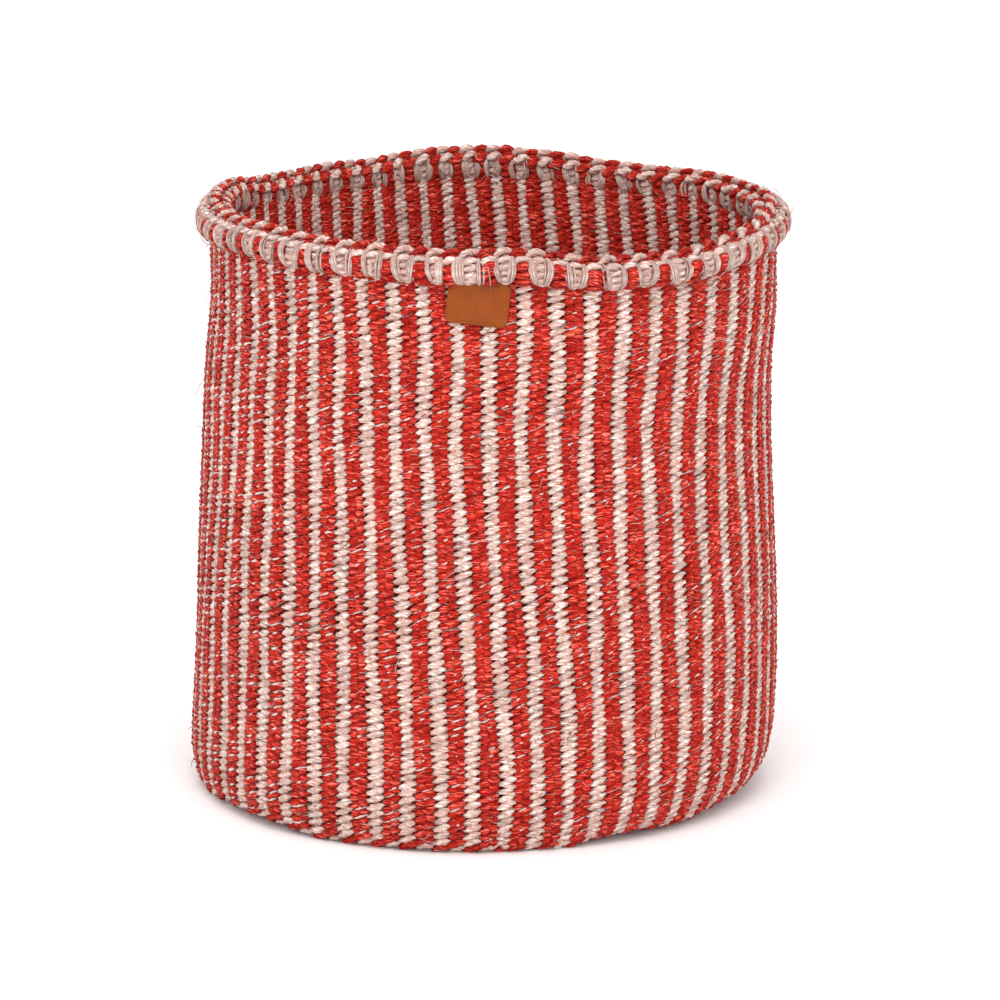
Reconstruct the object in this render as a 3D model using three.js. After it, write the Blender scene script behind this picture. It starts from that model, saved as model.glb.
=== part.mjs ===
// Round storage basket twined from red and natural sisal over hidden upright warps,
// with a thick lashed rim and a small bare leather tag.
// Units are millimetres and +Z is up. The origin is the centre of the underside, on the floor.
// The front of the basket, where the tag hangs, faces -Y.
import * as THREE from "three";

// Overall shape: the outer face of the basket from the floor up
const totalHeight = 256;
const footRadius = 116.5;
const wallBaseRadius = 124;
const heelHeight = 9;
const bellyRadius = 126.3;
const bellyHeight = 80;
const wallTopRadius = 121;

// Weave: an even number of warps, with the two weft strands on either side of them
const warpCount = 112;
const warpWidth = 2.6;
const warpThickness = 2;
const weftThickness = 1.9;
const spokeGap = 0.4;
const clearance = 0.3;

// Rim: a padded roll over the top of the wall, lashed down in blocks and edged with two strands
const rollCapThickness = 2.6;
const rollFootThickness = 2.2;
const rollBulgeThickness = 3.8;
const rollShoulderThickness = 2.4;
const rollInnerThickness = 1.8;
const rollOuterDrop = 8.1;
const rollInnerDrop = 7.5;
const rollBulgeDrop = 4;
const lashThickness = 1.9;
const lashWidth = 8.2;
const edgeStrandDiameter = 3;

// Leather tag, hung below the rim from one stitch over a natural column, a little left of the front.
// tagTurn is that column's angle from the front, in radians.
const tagWidth = 26;
const tagHeight = 18.5;
const tagThickness = 1.8;
const tagCornerRadius = 3.5;
const tagColumn = 0;
const tagTurn = -0.042;
const tagHoleSize = 1.6;
const tagHoleDrop = 3.2;
const threadThickness = 0.8;
const threadRise = 4.2;

// Values worked out from the dimensions above
const columnAngle = (2 * Math.PI) / warpCount;
const firstColumnAngle = -Math.PI / 2 + tagTurn;
const warpOuterDepth = weftThickness + clearance;
const warpInnerDepth = warpOuterDepth + warpThickness;
const innerWeftBackDepth = warpInnerDepth + clearance;
const wallThickness = innerWeftBackDepth + weftThickness;
const hubRadius = (warpCount * (warpWidth + spokeGap)) / (2 * Math.PI);
const edgeStrandBottom = totalHeight - edgeStrandDiameter;
const rollTop = edgeStrandBottom - clearance - lashThickness - clearance;
const rollCeiling = rollTop - rollCapThickness;
const wallTopHeight = rollCeiling - clearance;
const rollFootHeight = rollTop - rollOuterDrop;
const rollBulgeHeight = rollTop - rollBulgeDrop;
const rollInnerFootHeight = rollTop - rollInnerDrop;
const plateSegments = warpCount / 2;

// Finishes
const redSisal = new THREE.MeshStandardMaterial({ color: 0xc8301f, roughness: 0.85, metalness: 0 });
const naturalSisal = new THREE.MeshStandardMaterial({ color: 0xdac3b0, roughness: 0.85, metalness: 0 });
const warpSisal = new THREE.MeshStandardMaterial({ color: 0xc9b091, roughness: 0.9, metalness: 0 });
const mixedSisal = new THREE.MeshStandardMaterial({ color: 0xcf7a66, roughness: 0.88, metalness: 0 });
const tanLeather = new THREE.MeshStandardMaterial({ color: 0xa9582e, roughness: 0.6, metalness: 0 });

// The line [radius, height] moved sideways by a distance, to its right, with mitred corners
function offsetLine(line, distance) {
  const normals = line.slice(1).map(([r, z], k) => {
    const dr = r - line[k][0];
    const dz = z - line[k][1];
    const length = Math.hypot(dr, dz);
    return [dz / length, -dr / length];
  });
  return line.map(([r, z], k) => {
    const before = normals[Math.max(k - 1, 0)];
    const after = normals[Math.min(k, normals.length - 1)];
    const stretch = distance / (1 + before[0] * after[0] + before[1] * after[1]);
    return [r + (before[0] + after[0]) * stretch, z + (before[1] + after[1]) * stretch];
  });
}

// Outer face of the basket: centre of the floor, foot, top of the heel, belly, top of the wall
const outerFace = [
  [0, 0],
  [footRadius, 0],
  [wallBaseRadius, heelHeight],
  [bellyRadius, bellyHeight],
  [wallTopRadius, wallTopHeight],
];

// The same line at a depth below the outer face
function layer(depth) {
  return offsetLine(outerFace, -depth);
}

// Radius of the upper wall at a height, at a depth below its outer face
function wallRadius(height, depth) {
  const [[r0, z0], [r1, z1]] = layer(depth).slice(-2);
  return r0 + ((r1 - r0) * (height - z0)) / (z1 - z0);
}

// The three levels of the wall at a depth, the lowest one raised clear of the base
function wallLevels(depth) {
  const [low, belly, top] = layer(depth).slice(2);
  const run = Math.hypot(belly[0] - low[0], belly[1] - low[1]);
  const raised = low.map((value, axis) => value + ((belly[axis] - value) * clearance) / run);
  return [raised, belly, top];
}

function polar(radius, angle, height) {
  return [radius * Math.cos(angle), radius * Math.sin(angle), height];
}

function columnCentre(column) {
  return firstColumnAngle + column * columnAngle;
}

// A named mesh from points and faces, where each face is a fan of three or four points
function solid(name, material, points, faces) {
  const triangles = faces.flatMap((face) =>
    face.slice(2).flatMap((_, k) => [face[0], face[k + 1], face[k + 2]]),
  );
  const geometry = new THREE.BufferGeometry();
  geometry.setAttribute("position", new THREE.Float32BufferAttribute(points.flat(), 3));
  geometry.setIndex(triangles);
  geometry.computeVertexNormals();
  const mesh = new THREE.Mesh(geometry, material);
  mesh.name = name;
  return mesh;
}

// A ring or disc turned about the vertical axis from a section of [radius, height] points
function turned(name, material, section, segments, closed) {
  const profile = closed ? [...section, section[0]] : section;
  const outline = profile.map(([r, z]) => new THREE.Vector2(r, z));
  const geometry = new THREE.LatheGeometry(outline, segments);
  geometry.rotateX(Math.PI / 2);
  const mesh = new THREE.Mesh(geometry, material);
  mesh.name = name;
  return mesh;
}

// One weft strand of the wall. It lies outside every second column and inside the others,
// and passes between the warps from one side to the other in the bands listed.
function wallWeft(name, material, phase, crossingBands) {
  const points = [];
  const faces = [];
  const levelCount = wallLevels(0).length;
  const bandCount = levelCount - 1;
  const isOutside = (column) => (column + phase) % 2 === 0;
  const at = (level, column, corner) => (level * warpCount + (column % warpCount)) * 4 + corner;
  const side = (band, a, b) => {
    faces.push([at(band, ...a), at(band, ...b), at(band + 1, ...b), at(band + 1, ...a)]);
  };

  // Corners of each cell: face left, face right, back right, back left
  for (let level = 0; level < levelCount; level += 1) {
    for (let column = 0; column < warpCount; column += 1) {
      const faceDepth = isOutside(column) ? 0 : wallThickness;
      const backDepth = isOutside(column) ? weftThickness : innerWeftBackDepth;
      const [faceRadius, faceHeight] = wallLevels(faceDepth)[level];
      const [backRadius, backHeight] = wallLevels(backDepth)[level];
      const faceHalf = columnAngle / 2 - clearance / 2 / faceRadius;
      const backHalf = (warpWidth / 2 + clearance) / backRadius;
      const centre = columnCentre(column);
      points.push(polar(faceRadius, centre - faceHalf, faceHeight));
      points.push(polar(faceRadius, centre + faceHalf, faceHeight));
      points.push(polar(backRadius, centre + backHalf, backHeight));
      points.push(polar(backRadius, centre - backHalf, backHeight));
    }
  }

  for (let column = 0; column < warpCount; column += 1) {
    const next = column + 1;
    const outside = isOutside(column);
    const cell = outside ? [0, 1, 2, 3] : [3, 2, 1, 0];
    const crossing = outside
      ? [[column, 1], [next, 3], [next, 0], [column, 2]]
      : [[column, 2], [next, 0], [next, 3], [column, 1]];

    // Faces that every band has, then either the crossing's sides or the two cells' own ends
    for (let band = 0; band < bandCount; band += 1) {
      side(band, [column, cell[0]], [column, cell[1]]);
      side(band, [column, cell[2]], [column, cell[3]]);
      if (crossingBands.includes(band)) {
        side(band, crossing[0], crossing[1]);
        side(band, crossing[2], crossing[3]);
      } else {
        side(band, crossing[0], crossing[3]);
        side(band, crossing[2], crossing[1]);
      }
    }

    // Ends of the cells, and of the crossings where they start and stop
    faces.push(cell.map((corner) => at(0, column, corner)).reverse());
    faces.push(cell.map((corner) => at(bandCount, column, corner)));
    for (let level = 0; level < levelCount; level += 1) {
      const above = crossingBands.includes(level);
      const below = crossingBands.includes(level - 1);
      const end = crossing.map((corner) => at(level, ...corner));
      if (above && !below) {
        faces.push(end.reverse());
      }
      if (below && !above) {
        faces.push(end);
      }
    }
  }
  return solid(name, material, points, faces);
}

// All the warps: they cross in a close-packed mat at the centre, run out as spokes,
// bend up at the heel and stand in the wall up to the rim.
function warpCage() {
  const points = [];
  const faces = [];
  const lines = [warpOuterDepth, warpInnerDepth].map((depth) => [[hubRadius, depth], ...layer(depth).slice(1)]);
  const levelCount = lines[0].length;
  const at = (level, warp, corner) => (level * warpCount + (warp % warpCount)) * 4 + corner;

  // Corners of each section: outer left, outer right, inner right, inner left
  for (let level = 0; level < levelCount; level += 1) {
    for (let warp = 0; warp < warpCount; warp += 1) {
      const centre = columnCentre(warp);
      for (const [line, turn] of [[0, -1], [0, 1], [1, 1], [1, -1]]) {
        const [radius, height] = lines[line][level];
        const [x, y] = polar(radius, centre, height);
        const sideways = (turn * warpWidth) / 2;
        points.push([x - sideways * Math.sin(centre), y + sideways * Math.cos(centre), height]);
      }
    }
  }
  const matUnderside = points.push([0, 0, warpOuterDepth]) - 1;
  const matTop = points.push([0, 0, warpInnerDepth]) - 1;

  for (let warp = 0; warp < warpCount; warp += 1) {
    const next = warp + 1;
    for (let level = 0; level < levelCount - 1; level += 1) {
      for (let corner = 0; corner < 4; corner += 1) {
        const other = (corner + 1) % 4;
        faces.push([
          at(level, warp, corner),
          at(level, warp, other),
          at(level + 1, warp, other),
          at(level + 1, warp, corner),
        ]);
      }
    }
    faces.push([0, 1, 2, 3].map((corner) => at(levelCount - 1, warp, corner)));
    faces.push([at(0, warp, 1), at(0, next, 0), at(0, next, 3), at(0, warp, 2)]);
    faces.push([matTop, at(0, warp, 3), at(0, warp, 2)]);
    faces.push([matTop, at(0, warp, 2), at(0, next, 3)]);
    faces.push([matUnderside, at(0, warp, 1), at(0, warp, 0)]);
    faces.push([matUnderside, at(0, next, 0), at(0, warp, 1)]);
  }
  return solid("warps", warpSisal, points, faces);
}

// One face of the twined base and heel, between two depths below the outer face.
// The outer one is drawn round its circle and the inner one inside it, to clear the warps.
function baseWeave(name, nearDepth, farDepth, roundness) {
  const near = layer(nearDepth).slice(0, 3);
  const far = layer(farDepth).slice(0, 3).reverse();
  const section = [...near, ...far].map(([r, z]) => [r * roundness, z]);
  return turned(name, mixedSisal, section, plateSegments, false);
}

// Outer face of the rim roll, from the foot of its outer skirt over the top to its inner foot
const rollFace = [
  [wallRadius(rollFootHeight, -clearance) + rollFootThickness, rollFootHeight],
  [wallRadius(rollBulgeHeight, -clearance) + rollBulgeThickness, rollBulgeHeight],
  [wallRadius(rollTop, -clearance) + rollShoulderThickness, rollTop],
  [wallRadius(rollTop, wallThickness + clearance) - rollInnerThickness, rollTop],
  [wallRadius(rollInnerFootHeight, wallThickness + clearance) - rollInnerThickness, rollInnerFootHeight],
];

// The padded roll, a channel turned upside down over the top of the wall
function rimRoll() {
  const channel = [
    [wallRadius(rollInnerFootHeight, wallThickness + clearance), rollInnerFootHeight],
    [wallRadius(rollCeiling, wallThickness + clearance), rollCeiling],
    [wallRadius(rollCeiling, -clearance), rollCeiling],
    [wallRadius(rollFootHeight, -clearance), rollFootHeight],
  ];
  return turned("rim_roll", redSisal, [...rollFace, ...channel], warpCount, true);
}

// A curved sheet of cells between a near and a far surface. point gives [x, y, z] for a column line,
// a row line and 0 or 1 for the surface, and present says which cells are there.
function cellSheet(name, material, columns, rows, wraps, point, present) {
  const lines = wraps ? columns : columns + 1;
  const points = [];
  const faces = [];
  const used = new Map();
  const has = (a, b) => {
    const column = wraps ? (a + columns) % columns : a;
    return column >= 0 && column < columns && b >= 0 && b < rows && present(column, b);
  };
  const at = (a, b, surface) => {
    const key = ((a % lines) * (rows + 1) + b) * 2 + surface;
    if (!used.has(key)) {
      used.set(key, points.push(point(a % lines, b, surface)) - 1);
    }
    return used.get(key);
  };
  for (let a = 0; a < columns; a += 1) {
    for (let b = 0; b < rows; b += 1) {
      if (!has(a, b)) {
        continue;
      }
      const corners = [[a, b], [a + 1, b], [a + 1, b + 1], [a, b + 1]];
      const neighbours = [has(a, b - 1), has(a + 1, b), has(a, b + 1), has(a - 1, b)];
      faces.push(corners.map((corner) => at(...corner, 1)));
      faces.push(corners.map((corner) => at(...corner, 0)).reverse());
      neighbours.forEach((joined, k) => {
        const from = corners[k];
        const to = corners[(k + 1) % 4];
        if (!joined) {
          faces.push([at(...to, 1), at(...from, 1), at(...from, 0), at(...to, 0)]);
        }
      });
    }
  }
  return solid(name, material, points, faces);
}

// The natural lashing: a band along the crest with a block down each side, over every column
// that is red outside, so the red rim shows above the natural columns
function rimLashing() {
  const surfaces = [offsetLine(rollFace, clearance), offsetLine(rollFace, clearance + lashThickness)];
  const crestRow = 2;
  const halfBlock = lashWidth / 2 / rollFace[1][0];
  const blockEdge = (line) => columnCentre(2 * Math.floor(line / 2) + 1) + (line % 2 ? halfBlock : -halfBlock);
  const point = (a, b, surface) => polar(surfaces[surface][b][0], blockEdge(a), surfaces[surface][b][1]);
  const present = (a, b) => a % 2 === 0 || b === crestRow;
  return cellSheet("rim_lashing", naturalSisal, warpCount, rollFace.length - 1, true, point, present);
}

// The two strands that edge the crest, side by side on the lashing
function edgeStrand(name, material, direction) {
  const crestRadius = (rollFace[2][0] + rollFace[3][0]) / 2;
  const radius = edgeStrandDiameter / 2;
  const centre = crestRadius + direction * (radius + clearance / 2);
  const corner = radius * Math.tan(Math.PI / 8);
  const section = [
    [centre + corner, edgeStrandBottom],
    [centre + radius, edgeStrandBottom + radius - corner],
    [centre + radius, edgeStrandBottom + radius + corner],
    [centre + corner, totalHeight],
    [centre - corner, totalHeight],
    [centre - radius, edgeStrandBottom + radius + corner],
    [centre - radius, edgeStrandBottom + radius - corner],
    [centre - corner, edgeStrandBottom],
  ];
  return turned(name, material, section, plateSegments, true);
}

// The bare leather tag, curved to the wall, with round lower corners and a hole for its stitch
const tagTop = rollFootHeight - clearance;
const tagHoleHeight = tagTop - tagHoleDrop;
const tagBackRadius = Math.max(wallRadius(tagTop, -clearance), wallRadius(tagTop - tagHeight, -clearance));

function leatherTag() {
  const half = tagWidth / 2;
  const arc = tagCornerRadius * (1 - Math.SQRT1_2);
  const holeHalf = tagHoleSize / 2;
  const columnLines = [-half, -half / 2, -holeHalf, holeHalf, half / 2, half];
  const rowLines = [
    tagTop - tagHeight,
    tagTop - tagHeight + arc,
    tagTop - tagHeight + tagCornerRadius,
    tagHoleHeight - holeHalf,
    tagHoleHeight + holeHalf,
    tagTop,
  ];
  const edgeInset = [tagCornerRadius, arc, 0, 0, 0, 0];
  const point = (a, b, surface) => {
    const along = Math.sign(columnLines[a]) * Math.min(Math.abs(columnLines[a]), half - edgeInset[b]);
    const angle = columnCentre(tagColumn) + along / tagBackRadius;
    return polar(tagBackRadius + surface * tagThickness, angle, rowLines[b]);
  };
  const isHole = (a, b) => a === 2 && b === 3;
  const present = (a, b) => !isHole(a, b);
  return cellSheet("leather_tag", tanLeather, columnLines.length - 1, rowLines.length - 1, false, point, present);
}

// The stitch that holds the tag: out through its hole and up the face of the rim
function tagThread() {
  const half = threadThickness / 2;
  const backRadius = tagBackRadius;
  const frontRadius = Math.max(rollFace[1][0], backRadius + tagThickness) + clearance;
  const hook = new THREE.Shape([
    new THREE.Vector2(backRadius, tagHoleHeight - half),
    new THREE.Vector2(frontRadius + threadThickness, tagHoleHeight - half),
    new THREE.Vector2(frontRadius + threadThickness, rollBulgeHeight + threadRise / 2),
    new THREE.Vector2(frontRadius, rollBulgeHeight + threadRise / 2),
    new THREE.Vector2(frontRadius, tagHoleHeight + half),
    new THREE.Vector2(backRadius, tagHoleHeight + half),
  ]);
  const geometry = new THREE.ExtrudeGeometry(hook, { depth: threadThickness, bevelEnabled: false });
  geometry.translate(0, 0, -half);
  geometry.rotateX(Math.PI / 2);
  const mesh = new THREE.Mesh(geometry, naturalSisal);
  mesh.rotation.z = columnCentre(tagColumn);
  mesh.name = "tag_thread";
  return mesh;
}

const circumscribed = 1 / Math.cos(Math.PI / plateSegments);
const basket = new THREE.Group();
basket.add(
  warpCage(),
  baseWeave("base_outer_weave", 0, weftThickness, circumscribed),
  baseWeave("base_inner_weave", innerWeftBackDepth, wallThickness, 1),
  wallWeft("weft_natural", naturalSisal, 0, [1]),
  wallWeft("weft_red", redSisal, 1, [0]),
  rimRoll(),
  rimLashing(),
  edgeStrand("edge_strand_natural", naturalSisal, 1),
  edgeStrand("edge_strand_red", redSisal, -1),
  leatherTag(),
  tagThread(),
);

export default basket;
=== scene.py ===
"""A round storage basket, twined from red and natural sisal, with a lashed rim and a leather tag."""

import math
from collections import namedtuple

import bpy
import numpy as np
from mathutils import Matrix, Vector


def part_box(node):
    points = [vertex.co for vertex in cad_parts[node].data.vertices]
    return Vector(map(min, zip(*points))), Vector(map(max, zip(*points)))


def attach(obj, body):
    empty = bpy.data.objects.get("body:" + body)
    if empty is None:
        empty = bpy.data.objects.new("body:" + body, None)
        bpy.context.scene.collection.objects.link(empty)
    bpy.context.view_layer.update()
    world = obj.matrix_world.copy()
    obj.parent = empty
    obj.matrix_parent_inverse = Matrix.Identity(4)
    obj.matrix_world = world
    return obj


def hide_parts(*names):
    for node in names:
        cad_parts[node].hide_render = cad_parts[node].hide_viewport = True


bl_info = {
    "name": "Twined sisal basket",
    "version": (1, 0, 0),
    "blender": (4, 5, 0),
    "location": "3D View > Sidebar > Basket",
    "description": "Builds a striped twined basket strand by strand, with its rim, tag and loose fibres",
    "category": "Add Mesh",
}

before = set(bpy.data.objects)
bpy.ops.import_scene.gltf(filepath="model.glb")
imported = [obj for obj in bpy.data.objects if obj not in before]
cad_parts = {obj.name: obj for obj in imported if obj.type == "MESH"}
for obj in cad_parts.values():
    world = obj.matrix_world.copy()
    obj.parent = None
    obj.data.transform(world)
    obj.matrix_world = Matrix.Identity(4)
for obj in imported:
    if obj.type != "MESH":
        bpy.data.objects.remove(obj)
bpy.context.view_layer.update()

rim_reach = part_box("rim_lashing")[1].x
tag_low, tag_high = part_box("leather_tag")

# Columns round the basket, and in metres: their width on the wall, where the warps start and first double,
# the radius of the rim, and how far the lashing stands out of it
COLUMNS = 112
COLUMN_WIDTH = 0.00705
WARP_START = 0.0015
DOUBLING_RADIUS = 0.0155
RIM_RADIUS = 0.1189
LASHING_DEPTH = 0.0018

# Stripes: how they crowd and lean, as the maker's hands left them, in degrees apart from the spread
FRONT_CROWDING = 4.5
SIDE_CROWDING = 6.6
SECOND_CROWDING = 1.8
BACK_CROWDING = 1.0
WHOLE_TURN = -0.6
BACK_LEAN = -11.2
FRONT_LEAN = 16.2
FRONT_LEAN_PLACE = 14.5
FRONT_LEAN_SPREAD = 1.15
MIDDLE_BOW = -1.35
MIDDLE_BOW_PLACE = 70

# The lean starts under the rim, and the crowding fades between these radii of the base
LEAN_FROM = 0.223
LEAN_OVER = 0.172
EVEN_RADIUS = 0.03
CROWDED_RADIUS = 0.11

# Waves of the rim and of the heel: degrees to the right of the front, and millimetres up
RIM_WAVES = (
    (-180, 3.2), (-168, 2.8), (-150, -1.0), (-118, 0.0), (-104, 2.8), (-88, 2.2), (-35, 1.4), (0, 0.2),
    (24, -3.6), (40, -4.9), (58, -2.8), (90, 0.6), (130, -0.4), (155, -2.2), (170, 1.8), (180, 3.2),
)
HEEL_WAVES = (
    (-180, 0.0), (-76, 0.0), (-58, 3.2), (-44, 2.6), (-34, 0.0), (19, 0.0), (26, 3.2), (36, 3.2),
    (46, 1.8), (60, 4.2), (78, 6.5), (96, 3.5), (130, 0.0), (180, 0.0),
)
# In metres: the height at which the rim's waves are full, and where the heel's waves and rim's drift fade
RIM_WAVE_HEIGHT = 0.25
HEEL_FADE = 0.009
HEEL_WAVES_FROM = 0.08
HEEL_WAVES_OVER = 0.03
RIM_DRIFT_FROM = 0.175
RIM_DRIFT_OVER = 0.045

# Ripples of the rim: height, waves round the basket, and degrees of shift
RIM_RIPPLES = ((0.0004, 7, 63), (0.0003, 12, 23))

# How far rows stray from even spacing, and the distances along the profile of the slow and quick wander
BACK_SHIFT = 0.0075
BACK_SHIFT_BELOW_RIM = (0.0, 0.06, 0.2)
SLOW_WANDER = 0.0008
SLOW_REACH = 0.0165
QUICK_WANDER = 0.00045
QUICK_REACH = 0.0066
EVEN_BELOW_RIM = 0.02

# Small waves of the weave: size, waves round the basket, length along the profile, and shift.
# The rows' are in metres, the sway's in columns, and the lumps' are shares of the size of a lump.
ROW_WAVES = ((0.00030, 5, 0.031, 0.0), (0.00028, 13, -0.019, 0.0), (0.00016, 31, 0.011, 0.0))
SWAY_WAVES = ((0.055, 17, 0.011, 0.0), (0.060, -29, 0.021, 1.0), (0.035, 41, 0.006, 2.0))
LUMP_WAVES = ((1.0, 4, 0.040, 0.0), (0.7, 9, -0.023, 2.0))

# The left side of the front, where red yarn is thinner and more slivers show: degrees to the left, spread
LEFT_PLACE = 72
LEFT_SPREAD = 0.45

# How single stitches differ: shift, slant and proud in metres, the others as shares
SHIFT_NOISE = 0.00017
SLANT_NOISE = 0.00018
PROUD_NOISE = 0.00012
PLUMP_NOISE = 0.09
YARN_NOISE = 0.05
TONE_NOISE = 0.05
YARN_RUN = 41
FLECK_LIMIT = 4.4
MOST_FLECK = 0.4
RIDGE_NOISE = 0.6

# Lashing loops and the coils between them: spreads in columns, the others in metres or as shares
LEAST_FOOT_SPREAD = 0.06
FOOT_NOISE = 0.09
HEAD_NOISE = 0.05
LOOP_BOW = 0.05
LOOP_SINK = 0.0007
LOOP_RISE = 0.0019
RISE_NOISE = 0.0003
END_DIP = 0.0005
END_SHARE = 0.97
WIDTH_NOISE = 0.16
BUNDLE_FILLING = 1.85
FILLING_NOISE = 0.12
BUNDLE_STRAY = 0.0003
LOOP_ROUNDING = 0.0034
THINNEST_BUNDLE = 0.0006
COIL_SWING = 0.19
COIL_SINK = 0.0005
COIL_RISE = 0.0007
# Strength of the painted shade at the sides of the coil's stitches
COIL_PAINTED_SHADE = 0.75
# Share of its colour that the lashing's natural yarn keeps: painted shade against the stronger light on the
# rim's top
LASHING_PAINTED_SHADE = 0.94
LOOP_TONE_NOISE = 0.07
COIL_TONE_NOISE = 0.06

# Finishes: stretch along the strand, scale and roughness of the yarn's streaks and finer hairs; scale,
# detail and roughness of the leather's clouds and scuffs; strength and depth of the reliefs
YARN_STREAKS = (130.0, 2.8, 0.5)
YARN_HAIRS = (55.0, 5.5, 0.6)
HAIR_SHARE = 0.35
YARN_RELIEF = (0.9, 0.00035)
LEATHER_CLOUDS = (160.0, 3.0, 0.6)
LEATHER_SCUFFS = (700.0, 4.0, 0.7)
LEATHER_GRAIN = 1500.0
LEATHER_RELIEF = (0.35, 0.0002)

SAMPLES_PER_STITCH = 6
TUBE_ROUNDNESS = 0.8
TURNS_PER_PIECE = 14
WALL_SIDES = 10
BASE_SIDES = 8
SLANT_STRAIGHTNESS = 0.96

# A stitch's last field is the strength of the painted shade at its sides and ends
Stitch = namedtuple(
    "Stitch",
    "lift reach sink wide narrow thick crossing_thick square taper thinning bow crossing_rise crevice",
    defaults=(0.0, 0.0, 0.0, 0.5),
)


def length(name, description, default):
    """A length for the panel, in metres."""
    return bpy.props.FloatProperty(
        name=name, description=description, default=default, unit="LENGTH", subtype="DISTANCE", precision=4
    )


def amount(name, description, default):
    """A plain number for the panel."""
    return bpy.props.FloatProperty(name=name, description=description, default=default, precision=3)


def angle(name, description, degrees):
    """An angle for the panel, given here in degrees."""
    return bpy.props.FloatProperty(
        name=name, description=description, default=math.radians(degrees), unit="ROTATION", subtype="ANGLE"
    )


def count(name, description, default):
    """A whole number for the panel."""
    return bpy.props.IntProperty(name=name, description=description, default=default, min=0)


def colour(name, description, default):
    """A colour for the panel, as linear red, green and blue."""
    return bpy.props.FloatVectorProperty(
        name=name, description=description, default=default, size=3, min=0, max=1, subtype="COLOR"
    )


class BasketShape(bpy.types.PropertyGroup):
    """Form of the body and how it leans"""

    foot_radius: length("Foot radius", "Where the flat base ends and the heel starts", 0.1155)
    heel_corner: length("Heel corner", "Where the heel's slope would meet the floor", 0.121)
    heel_height: length("Heel height", "Height at which the heel goes over into the wall", 0.012)
    heel_pull: length("Heel pull", "How far the wall is drawn in at the heel", 0.0018)
    heel_pull_height: length("Heel pull height", "Height over which that fades", 0.007)
    top_radius: length("Top radius", "Outer radius of the wall under the rim", 0.1205)
    belly_swell: length("Belly swell", "How far the belly stands out past the top radius", 0.0056)
    belly_height: length("Belly height", "Height of the widest place", 0.048)
    belly_reach: length("Belly reach", "How far up the swelling carries", 0.095)
    wall_top: length("Wall top", "Height at which the wall ends inside the rim", 0.2476)
    foot_drift: length("Foot drift", "How far the foot sits to the left", -0.0055)
    foot_drift_height: length("Foot drift height", "Height over which that drift fades", 0.034)
    side_drift: length("Side drift", "How far the whole wall sits to the right", 0.0003)
    rim_drift: length("Rim drift", "How far the rim sits to the right of the wall", 0.0025)
    rim_waves: amount("Rim waves", "How strongly the rim dips and rises", 1.0)
    heel_waves: amount("Heel waves", "How strongly the heel lifts off the floor in places", 1.0)
    lump: length("Lumps", "How far the wall swells in and out unevenly", 0.0005)


class BasketWeave(bpy.types.PropertyGroup):
    """The twined strands of the base and wall"""

    row_pitch: length("Row pitch", "Height from one row to the next", 0.00324)
    row_wander: amount("Row wander", "How unevenly the rows are spaced", 1.0)
    half_wall: length("Half wall", "From the middle of the wall to its outer face", 0.0032)
    strand_thickness: length("Strand thickness", "Thickness of a pressed strand", 0.0019)
    natural_height: length("Natural stitch", "Height of a natural stitch at its middle", 0.0043)
    red_height: length("Red stitch", "Height of a red stitch at its middle", 0.0045)
    crossing_height: length("Crossing height", "Height of a strand between two warps", 0.0014)
    crossing_thickness: length("Crossing thickness", "Thickness of a strand where two cross", 0.0043)
    crossing_rise: length("Crossing rise", "How far out of mid-wall the strands cross", 0.0005)
    natural_proud: length("Natural proud", "How much further the natural yarn stands out", 0.00003)
    red_fullness: amount("Red fullness", "How much of a column the thicker red yarn takes", 0.31)
    natural_fullness: amount("Natural fullness", "How much of a column the natural yarn takes", 0.20)
    red_taper: amount("Red taper", "How quickly a red stitch narrows to its ends", 0.72)
    natural_taper: amount("Natural taper", "How quickly a natural stitch narrows to its ends", 2.1)
    # Painted shade: how much darker each yarn is painted at the sides and ends of its stitches
    red_crevice: amount("Red crevice", "How much red stitches darken where they touch", 0.38)
    natural_crevice: amount("Natural crevice", "How much natural stitches darken where they touch", 0.6)
    red_thinning: amount("Red thinning", "How much thinner the red yarn is on the left side", 0.14)
    fibre_ridges: amount("Fibre ridges", "How far the bundles of fibre stand out of a strand", 0.13)
    lay: length("Lay", "Length in which the fibres wind once round a strand", 0.021)
    stitch_lift: length("Stitch lift", "How far a stitch rises from its middle to its end", 0.00110)
    warp_thickness: length("Warp thickness", "Thickness of the warp cords", 0.0022)
    centre_radius: length("Centre radius", "Where the first turn of the base starts", 0.004)
    unevenness: amount("Unevenness", "How much the stitches differ", 1.0)
    seed: count("Seed", "Chooses how the stitches differ", 4)


class BasketRim(bpy.types.PropertyGroup):
    """The padded rim and its lashing"""

    middle_radius: length("Middle radius", "Radius of the middle of the rim", RIM_RADIUS)
    middle_height: length("Middle height", "Height of the middle of the rim", 0.2476)
    half_width: length("Half width", "From there to the outer face", rim_reach - RIM_RADIUS - LASHING_DEPTH)
    inner_half: length("Inner half width", "From the middle of the rim to its inner face", 0.0049)
    half_height: length("Half height", "Half of the rim's height", 0.0050)
    squareness: amount("Squareness", "2 is round, more is squarer", 2.6)
    row_pitch: length("Row pitch", "Height of one row on the rim", 0.0030)
    loop_spread: amount("Loop spread", "Distance of a loop from its column, in columns", 0.47)
    foot_spread: amount("Foot spread", "The same at the loop's foot", 0.22)
    loop_width: length("Loop width", "Width of a lashing loop at its middle", 0.0029)
    loop_tail: length("Loop tail", "How far the loops reach down the wall below the rim", 0.0032)
    inner_tail: length("Inner tail", "How far the loops reach down inside below the rim", 0.0034)
    inner_lean: amount("Inner lean", "How far the loops lean aside inside, in columns", 0.22)
    loop_bundles: count("Bundles", "Bundles of fibre in a loop", 5)
    coil_pitch: length("Coil pitch", "Height of one turn of the coil between two loops", 0.0024)
    coil_thickness: length("Coil strand", "Thickness of the strand of that coil", 0.0021)
    crest_width: length("Crest strand", "Width of the strands along the crest", 0.0033)


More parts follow.
